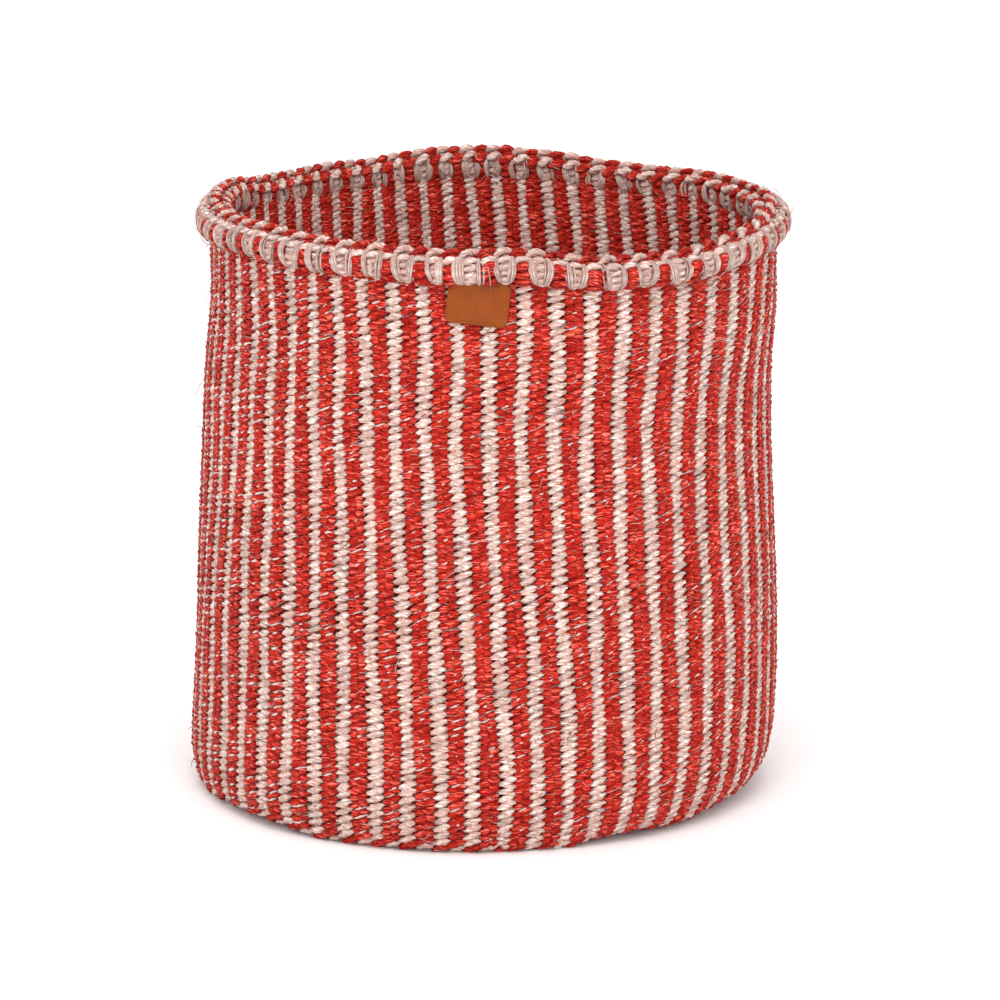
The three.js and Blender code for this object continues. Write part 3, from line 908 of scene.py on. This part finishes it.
class BASKET_OT_rim(bpy.types.Operator):
    """Padding of the rim and the twined rows round it"""

    bl_idname = "basket.rim"
    bl_label = "Rim rows"

    def execute(self, context):
        scene = context.scene
        rim, weave = scene.basket_rim, scene.basket_weave
        line = rim_line(scene.basket_shape, rim)
        self.padding(line, rim)
        stitch = Stitch(
            lift=0.0007, reach=0.0014, sink=-0.0006, wide=rim.row_pitch * 1.25, narrow=0.0016,
            thick=weave.strand_thickness * 0.85, crossing_thick=0.0015, square=0.12, taper=0.8,
        )
        covered = stitch._replace(sink=-0.0018)
        margin, shoulder_drop = 0.0006, 0.0026
        rows = int(line.end / rim.row_pitch)
        shoulder = int((line.top - shoulder_drop) / (line.end / rows))
        strands = {"natural": [], "red": []}
        for row in range(rows + 1):
            start = margin + row * (line.end - 2 * margin) / rows
            for phase in (0, 1):
                yarn = "natural" if phase == 1 or row == shoulder else "red"
                laid = stitch if yarn == "red" or row == shoulder else covered
                rng = np.random.default_rng([weave.seed, 1000 + row, phase])
                strand = twined_strand(line, laid, COLUMNS, 1, start, 0.0, phase, rng, 1.4, looped=True)
                strands[yarn].append(strand)
        for yarn in strands:
            add_strands("rim_rows", yarn, strands[yarn], BASE_SIDES, ("rim_roll",), looped=True)
        return {"FINISHED"}

    def padding(self, line, rim):
        """The cord inside the rim, which fills it behind the strands."""
        skin = 0.0028
        column = np.arange(0, COLUMNS, 0.5)
        radius = rim.middle_radius + (rim.half_width - rim.inner_half) / 2
        middle = TurnedLine(np.full(2, radius), rim.middle_height + np.array([-0.001, 0.001]), line.shape)
        centre, outward = middle.place(column, 0.001, 0.0)
        tall, wide = 2 * rim.half_height - skin, rim.half_width + rim.inner_half - skin
        # The cord is the red yarn darkened to 0.3 of its colour: painted shade behind the strands
        mesh = tube_mesh("rim_padding", centre[None], outward[None], tall, wide, 16, looped=True, shade=0.3)
        add_piece(mesh, yarn_finish("red"), "mixed_sisal", "rim_roll")


class BASKET_OT_crest(bpy.types.Operator):
    """Two twisted pairs of strands along the crest of the rim"""

    bl_idname = "basket.crest"
    bl_label = "Crest"

    def execute(self, context):
        scene = context.scene
        rim, seed = scene.basket_rim, scene.basket_weave.seed
        line = rim_line(scene.basket_shape, rim)
        wide = rim.crest_width
        strands = {"natural": [], "red": []}
        for row, (shift, rise) in enumerate(((-0.0006, 0.0010), (0.0037, 0.0003))):
            for yarn, phase, back in (("natural", 1, 0.0), ("red", 0, 0.0006)):
                stitch = Stitch(
                    lift=0.0010, reach=0.0015, sink=rise, wide=wide, narrow=wide * 0.80, thick=wide * 0.85,
                    crossing_thick=wide * 0.75, square=0.12, taper=0.8, bow=0.0009,
                )
                rng = np.random.default_rng([seed, 2000 + row, phase])
                start = line.top + shift + back
                strand = twined_strand(line, stitch, COLUMNS, 1, start, 0.0, phase, rng, 1.2, looped=True)
                strands[yarn].append(strand)
        for yarn in strands:
            nodes = (f"edge_strand_{yarn}",)
            add_strands("crest", yarn, strands[yarn], WALL_SIDES, nodes, looped=True, lay_share=0.7)
        return {"FINISHED"}


class BASKET_OT_loops(bpy.types.Operator):
    """Natural loops lashed over the rim, two to each column that is red on the outside"""

    bl_idname = "basket.loops"
    bl_label = "Lashing loops"

    def execute(self, context):
        scene = context.scene
        rim, seed = scene.basket_rim, scene.basket_weave.seed
        line = rim_line(scene.basket_shape, rim, rim.loop_tail, rim.inner_tail)
        rng = np.random.default_rng([seed, 3000])
        way = np.linspace(0, 1, 28)
        crest = line.top / line.end
        share = np.where(way < crest, way / crest, (1 - way) / (1 - crest))
        face = np.clip(np.sin(math.pi * share), 0, 1)
        leans = np.random.default_rng([seed, 3200]).normal(0, rim.inner_lean, COLUMNS)
        past_crest = np.clip((way - crest) / (1 - crest), 0, 1)
        bundles = []
        for column in range(1, COLUMNS, 2):
            for hand in (-1, 1):
                foot, head, bow, lower, raised, wide, plump = rng.normal(0, 1, 7)
                foot_spread = max(LEAST_FOOT_SPREAD, rim.foot_spread + FOOT_NOISE * foot)
                head_spread = rim.loop_spread + HEAD_NOISE * head
                spread = foot_spread + (head_spread - foot_spread) * smooth_step(1.7 * share)
                spread = spread + LOOP_BOW * face * (1 + bow)
                start = rim.loop_tail * (0.85 - 0.35 * abs(lower))
                along = start + (line.end - start) * way
                depth = (LOOP_RISE + RISE_NOISE * raised) * np.sqrt(face)
                depth = -LOOP_SINK + depth - END_DIP * (share > END_SHARE)
                breadth = rim.loop_width * (1 + WIDTH_NOISE * wide) * (0.22 + 0.78 * face**0.8)
                thick = BUNDLE_FILLING * breadth / rim.loop_bundles * (1 + FILLING_NOISE * plump)
                deep = np.maximum(thick, THINNEST_BUNDLE)
                for bundle in range(rim.loop_bundles):
                    off = (bundle + 0.5) / rim.loop_bundles - 0.5 + 0.05 * rng.normal()
                    stray = BUNDLE_STRAY * rng.normal() * np.sin(math.pi * way * rng.uniform(1.0, 3.0))
                    at = column + hand * spread + (off * breadth + stray) / COLUMN_WIDTH
                    at = at + leans[column] * past_crest
                    proud = depth - LOOP_ROUNDING * off * off + 0.00006 * rng.normal()
                    centre, outward = line.place(at, along, proud)
                    # Painted shade darkens each bundle, and the outer bundles of a loop more; the tone also
                    # differs at random from bundle to bundle
                    shade = np.full(len(way), LASHING_PAINTED_SHADE + LOOP_TONE_NOISE * rng.normal())
                    crevice = np.full(len(way), 0.25 + 0.6 * (2 * off) ** 2)
                    bundles.append((centre, outward, thick, deep, shade, crevice))
        centre, outward, width, thick, shade, crevice = (np.stack(v) for v in zip(*bundles))
        mesh = tube_mesh(
            "lashing_loops", centre, outward, width, thick, 6, lanes=8, shade=shade, crevice=crevice
        )
        add_piece(mesh, yarn_finish("natural"), "natural_sisal", "rim_lashing")
        self.coils(scene, line)
        return {"FINISHED"}

    def coils(self, scene, line):
        """The strand that coils up between the two loops of a column, in short slanting stitches."""
        rim, weave = scene.basket_rim, scene.basket_weave
        rng = np.random.default_rng([weave.seed, 3500])
        coils = COLUMNS // 2
        foot_gap, both_gaps = 0.0012, 0.0030
        run = line.end - rim.loop_tail - both_gaps
        turns = int(run / rim.coil_pitch)
        way = np.linspace(0, 1, turns * 10 + 1)
        column = np.arange(1, COLUMNS, 2)[:, None] + 0.05 * rng.normal(0, 1, (coils, 1))
        turn = np.minimum((way * turns).astype(int), turns)
        aside, uneven = rng.normal(0, 1, (2, coils, turns + 1))[:, :, turn]
        swing = 2 * math.pi * turns * way
        at = column + 0.03 * aside - COIL_SWING * np.cos(swing) * (1 + 0.15 * uneven)
        along = rim.loop_tail + foot_gap + run * way + 0.0002 * np.cos(swing) + 0 * column
        centre, outward = line.place(at, along, -COIL_SINK + COIL_RISE * np.sin(swing))
        # Painted shade darkens the coil as a whole and at the sides of its stitches; the tone also differs at
        # random from turn to turn
        mesh = tube_mesh(
            "lashing_coils", centre, outward, rim.coil_thickness, rim.coil_thickness, 6, strips=4, lanes=8,
            shade=LASHING_PAINTED_SHADE + COIL_TONE_NOISE * uneven, crevice=COIL_PAINTED_SHADE, ridges=weave.fibre_ridges,
        )
        add_piece(mesh, yarn_finish("natural"), "natural_sisal", "rim_lashing")


def rounded_outline(width, tall, corner, points):
    """Points round a rectangle with round corners, counterclockwise, and the directions out of it."""
    turn = np.linspace(0, math.pi / 2, points // 4)
    outline, out = [], []
    for quarter, (side, up) in enumerate(((1, 1), (-1, 1), (-1, -1), (1, -1))):
        heading = turn + quarter * math.pi / 2
        direction = np.stack((np.cos(heading), np.sin(heading)), -1)
        middle = np.array([side * (width / 2 - corner), up * (tall / 2 - corner)])
        outline.append(middle + corner * direction)
        out.append(direction)
    return np.concatenate(outline), np.concatenate(out)


class BASKET_OT_tag(bpy.types.Operator):
    """Bare leather tag under the rim, and the thread that holds it"""

    bl_idname = "basket.tag"
    bl_label = "Leather tag"

    def execute(self, context):
        scene = context.scene
        tag, shape = scene.basket_tag, scene.basket_shape
        outline, out = rounded_outline(tag.width, tag.tall, tag.corner, 96)
        bevel = tag.thickness * 0.35
        face = [(outline * s, tag.thickness) for s in np.linspace(0.02, 0.84, 20)]
        rounding = (
            (2.4, 1.0), (1.0, 0.97), (0.3, 0.85), (0.0, 0.6), (0.0, 0.3), (0.5, 0.0),
        )
        edge = [(outline - out * (bevel * inset), tag.thickness * high) for inset, high in rounding]
        back = [(outline * s, 0.0) for s in (0.7, 0.4, 0.02)]
        rings = face + edge + back
        flat = np.stack([np.concatenate((p, np.full((len(p), 1), h)), axis=1) for p, h in rings])
        burnish = np.array([0.0] * len(face) + [0.0, 0.08, 0.25, 0.6, 1.0, 1.0] + [0.6] * len(back))
        mesh = tag_mesh(self.hung(flat, tag, shape), burnish)
        add_piece(mesh, leather_finish(), "tan_leather", "leather_tag")
        self.thread(tag, shape, scene.basket_rim)
        return {"FINISHED"}

    def hung(self, flat, tag, shape):
        """The flat tag turned, bent round the wall and hung under the rim, with puckers at the thread."""
        turn = -tag.turn
        across = flat[..., 0] * math.cos(turn) - flat[..., 1] * math.sin(turn)
        up = flat[..., 0] * math.sin(turn) + flat[..., 1] * math.cos(turn)
        gap, curling, wide = 0.0004, 0.0004, 0.0009
        radius = shape.top_radius + gap + tag.stand_off * (0.5 - up / tag.tall) + flat[..., 2]
        curl = curling * np.cos(math.pi * across / tag.width)
        high = smooth_step((up / tag.tall + 0.5 - 0.55) / 0.4)
        puckers = ((0.0016, 0.0008), (-0.0008, 0.0011), (-0.0032, 0.0008))
        pucker = sum(deep * np.exp(-(((across - middle) / wide) ** 2)) for middle, deep in puckers)
        around = tag.place + across / (shape.top_radius + 0.004)
        radius = radius + 0.9 * across**2 - curl - high * pucker
        points = np.stack((radius * np.sin(around), -radius * np.cos(around), tag.height + up), axis=-1)
        return settled(points, shape)

    def thread(self, tag, shape, rim):
        """Sewing thread from the tag's hole up over the rim's first rows."""
        line = rim_line(shape, rim)
        way = np.linspace(0, 1, 28)
        along = 0.0006 + 0.0098 * way
        depth = 0.0012 + 0.0007 * np.sin(math.pi * way) - 0.0014 * (way > 0.96)
        centre, outward = line.place(0.03 + 0.04 * np.sin(5 * way), along, depth)
        below = np.array([[0.0001, 0.0006, -0.0030], [0.0001, -0.0011, -0.0022], [0.0, -0.0012, -0.0010]])
        centre = np.concatenate((centre[:1] + below, centre))
        outward = np.concatenate((np.repeat(outward[:1], len(below), axis=0), outward))
        mesh = tube_mesh(
            "tag_sewing_thread", centre[None], outward[None], tag.thread, tag.thread, 8, shade=0.85
        )
        add_piece(mesh, yarn_finish("natural"), "natural_sisal", "tag_thread")


def tag_mesh(points, burnish):
    """A closed mesh of rings from the middle of the front round the edge to the middle of the back."""
    rings, around = points.shape[:2]
    ring, place = np.meshgrid(np.arange(rings - 1), np.arange(around), indexing="ij")
    ahead = (place + 1) % around
    inner, outer = ring * around, (ring + 1) * around
    quads = np.stack((inner + place, outer + place, outer + ahead, inner + ahead), axis=-1).reshape(-1, 4)
    first = list(range(around))
    last = [(rings - 1) * around + i for i in reversed(range(around))]
    mesh = bpy.data.meshes.new("tag_leather")
    mesh.from_pydata(points.reshape(-1, 3).tolist(), [], quads.tolist() + [first, last])
    mesh.polygons.foreach_set("use_smooth", np.ones(len(mesh.polygons), bool))
    layer = mesh.attributes.new("shade", "FLOAT", "POINT")
    layer.data.foreach_set("value", np.repeat(burnish, around).astype(np.float32))
    mesh.update()
    return mesh


class BASKET_OT_fibres(bpy.types.Operator):
    """Loose fibres on the wall, inside and on the rim"""

    bl_idname = "basket.fibres"
    bl_label = "Loose fibres"

    def execute(self, context):
        scene = context.scene
        shape, weave, fibres = scene.basket_shape, scene.basket_weave, scene.basket_fibres
        wall, skin = wall_line(shape, weave), rim_line(shape, scene.basket_rim)
        face = weave.half_wall + 0.0001
        lowest, highest = 0.004, 0.242
        span, edge = (wall.at_height(lowest), wall.at_height(highest)), (0.0, skin.end)
        long, middling, short = (0.005, 0.013), (0.004, 0.010), (0.004, 0.009)
        straight, loose = (0.24, 0.22, 0.35), (0.30, 0.45, 0.9)
        rng = np.random.default_rng(fibres.seed)
        for kind in (
            ("outside", wall, fibres.lying, span, long, straight, face, 0.0004, 0.0, 0.15),
            ("flying", wall, fibres.flying, span, short, loose, face, 0.0006, 0.0026, 0.4),
            ("inside", wall, fibres.inside, span, long, straight, -face, -0.0004, -0.0006, 0.2),
            ("rim", skin, fibres.on_rim, edge, middling, loose, 0.0016, 0.0005, 0.0012, 0.35),
        ):
            self.scatter(rng, *kind)
        self.slivers(wall, weave, fibres, rng)
        return {"FINISHED"}

    def scatter(self, rng, name, line, number, span, lengths, wander, face, bow, lift, red_share):
        """Fibres that start at random places, run roughly along the rows and bow or lift away."""
        way = np.linspace(0, 1, 8)
        slant, spread, bend = wander
        start_column = rng.uniform(0, COLUMNS, number)[:, None]
        start_along = rng.uniform(*span, number)[:, None]
        run = rng.uniform(*lengths, number)[:, None]
        hand = rng.choice([-1, 1], number)[:, None]
        heading = rng.normal(slant, spread, (number, 1)) + rng.normal(0, bend, (number, 1)) * (way - 0.3)
        step = run * way[1]
        column = start_column + np.cumsum(hand * step * np.cos(heading), axis=1) / COLUMN_WIDTH
        along = start_along + np.cumsum(hand * step * np.sin(heading), axis=1)
        lifted = lift * np.abs(rng.normal(0, 1, (number, 1))) * way**1.6
        bowed = bow * np.abs(rng.normal(0, 1, (number, 1))) * np.sin(math.pi * way)
        centre, outward = line.place(column, along, face + bowed + lifted)
        thick = bpy.context.scene.basket_fibres.thickness * rng.uniform(0.7, 1.5, (number, 1))
        thick = thick * (1 - 0.5 * np.abs(2 * way - 1) ** 3)
        shade = rng.uniform(0.98, 1.15, (number, 1))
        is_red = rng.uniform(0, 1, number) < red_share
        for kind, chosen, finish in (("natural", ~is_red, "pale"), ("red", is_red, "red")):
            mesh = tube_mesh(
                f"fibres_{name}_{kind}", centre[chosen], outward[chosen], thick[chosen], thick[chosen], 3,
                lanes=16, shade=shade[chosen],
            )
            add_piece(mesh, yarn_finish(finish), f"{kind}_sisal")

    def slivers(self, line, weave, fibres, rng):
        """Bundles of natural fibre that come to the surface between two red stitches."""
        rows = int((line.end - weave.centre_radius) / weave.row_pitch)
        first = int((line.at_height(0.006) - weave.centre_radius) / weave.row_pitch)
        row, column = np.meshgrid(np.arange(first, rows - 2), np.arange(1, COLUMNS, 2), indexing="ij")
        row, column = row.reshape(-1, 1), column.reshape(-1, 1)
        left = left_side(column * 2 * math.pi / COLUMNS)
        patch = 1 + 0.9 * np.sin(1.9 * column + 1.0) * np.cos(row / 9 + 0.7 * column)
        chance = fibres.slivers * patch + fibres.left_slivers * left
        chosen = (rng.uniform(0, 1, row.shape) < chance)[:, 0]
        row, column = row[chosen], column[chosen]
        number = len(row)
        middle = rng.uniform(-0.14, 0.14, (number, 1))
        half = rng.uniform(0.26, 0.56, (number, 1))
        reach = np.linspace(-1, 1, 9)
        aside = middle + half * reach
        place = weave.centre_radius + weave.row_pitch * (row + 0.5 + (column + aside) / COLUMNS)
        place = place + weave.stitch_lift * slanting(math.pi * aside) + rng.normal(0, 0.00022, (number, 1))
        proud = weave.half_wall - 0.00010 + 0.00040 * (1 - reach**2) + rng.normal(0, 0.00008, (number, 1))
        centre, outward = line.place(column + aside, place, proud)
        thick = (rng.uniform(0.0005, 0.0009, (number, 1)) + 0.0005 * left[chosen]) * (1 - 0.7 * reach**2)
        shade = rng.uniform(0.98, 1.12, (number, 1))
        mesh = tube_mesh("slivers", centre, outward, thick, 0.8 * thick, 5, lanes=16, shade=shade)
        add_piece(mesh, yarn_finish("pale"), "natural_sisal")


class BASKET_OT_studio(bpy.types.Operator):
    """Pale floor, soft light and the camera"""

    bl_idname = "basket.studio"
    bl_label = "Studio"

    def execute(self, context):
        scene = context.scene
        studio = scene.basket_studio
        self.floor(studio)
        world = bpy.data.worlds.new("white_surroundings")
        world.use_nodes = True
        world.node_tree.nodes["Background"].inputs[0].default_value = (1, 1, 1, 1)
        world.node_tree.nodes["Background"].inputs[1].default_value = studio.sky
        scene.world = world
        scene.view_settings.view_transform = "Standard"
        for name, power, size, place, pitch, turn in (
            ("key_lamp", studio.key, 1.2, (-0.1, -1.8, 0.5), 78, -3),
            ("overhead_lamp", studio.overhead, 0.8, (0.0, -0.9, 1.6), 33, 0),
        ):
            lamp = bpy.data.lights.new(name, "AREA")
            lamp.energy = power
            lamp.size = size
            self.put(name, lamp, place, (math.radians(pitch), 0, math.radians(turn)))
        camera = bpy.data.cameras.new("camera")
        camera.lens = studio.camera_lens
        camera.sensor_width = 36.0
        place = (studio.camera_side, -studio.camera_back, studio.camera_height)
        scene.camera = self.put("camera", camera, place, (math.pi / 2 - studio.camera_pitch, 0, 0))
        return {"FINISHED"}

    def put(self, name, data, place=(0, 0, 0), turn=(0, 0, 0)):
        """An object in the scene at a place, turned about its axes."""
        item = bpy.data.objects.new(name, data)
        item.location = place
        item.rotation_euler = turn
        bpy.context.scene.collection.objects.link(item)
        return item

    def floor(self, studio):
        """A wide flat floor at the height that the basket stands on."""
        reach = 6.0
        corners = [(-reach, -reach, 0), (reach, -reach, 0), (reach, reach, 0), (-reach, reach, 0)]
        mesh = bpy.data.meshes.new("floor")
        mesh.from_pydata(corners, [], [(0, 1, 2, 3)])
        material, tree, shader = new_finish("pale_floor", roughness=0.9)
        feed(tree, shader.inputs["Base Color"], studio.floor)
        mesh.materials.append(material)
        floor = self.put("floor", mesh)


class BASKET_PT_panel(bpy.types.Panel):
    """Lists the pieces of the basket in the order that they are made"""

    bl_idname = "BASKET_PT_panel"
    bl_label = "Twined basket"
    bl_space_type = "VIEW_3D"
    bl_region_type = "UI"
    bl_category = "Basket"

    def draw(self, context):
        for operator in OPERATORS:
            self.layout.operator(operator.bl_idname)
        for name, group in GROUPS.items():
            box = self.layout.box()
            box.label(text=group.__doc__)
            for setting in group.__annotations__:
                box.prop(getattr(context.scene, name), setting)


GROUPS = {
    "basket_shape": BasketShape,
    "basket_weave": BasketWeave,
    "basket_rim": BasketRim,
    "basket_tag": BasketTag,
    "basket_fibres": BasketFibres,
    "basket_colours": BasketColours,
    "basket_studio": BasketStudio,
}
OPERATORS = (
    BASKET_OT_studio,
    BASKET_OT_warps,
    BASKET_OT_base,
    BASKET_OT_wall,
    BASKET_OT_rim,
    BASKET_OT_crest,
    BASKET_OT_loops,
    BASKET_OT_tag,
    BASKET_OT_fibres,
)


def register():
    """Makes the settings, the operators and the panel known to Blender."""
    for name, group in GROUPS.items():
        bpy.utils.register_class(group)
        setattr(bpy.types.Scene, name, bpy.props.PointerProperty(type=group))
    for operator in OPERATORS:
        bpy.utils.register_class(operator)
    bpy.utils.register_class(BASKET_PT_panel)


def unregister():
    """Takes them away again."""
    bpy.utils.unregister_class(BASKET_PT_panel)
    for operator in reversed(OPERATORS):
        bpy.utils.unregister_class(operator)
    for name, group in reversed(GROUPS.items()):
        delattr(bpy.types.Scene, name)
        bpy.utils.unregister_class(group)


def main():
    """Builds the whole basket."""
    register()
    bpy.ops.basket.studio()
    bpy.ops.basket.warps()
    bpy.ops.basket.base()
    bpy.ops.basket.wall()
    bpy.ops.basket.rim()
    bpy.ops.basket.crest()
    bpy.ops.basket.loops()
    bpy.ops.basket.tag()
    bpy.ops.basket.fibres()


if __name__ == "__main__":
    main()
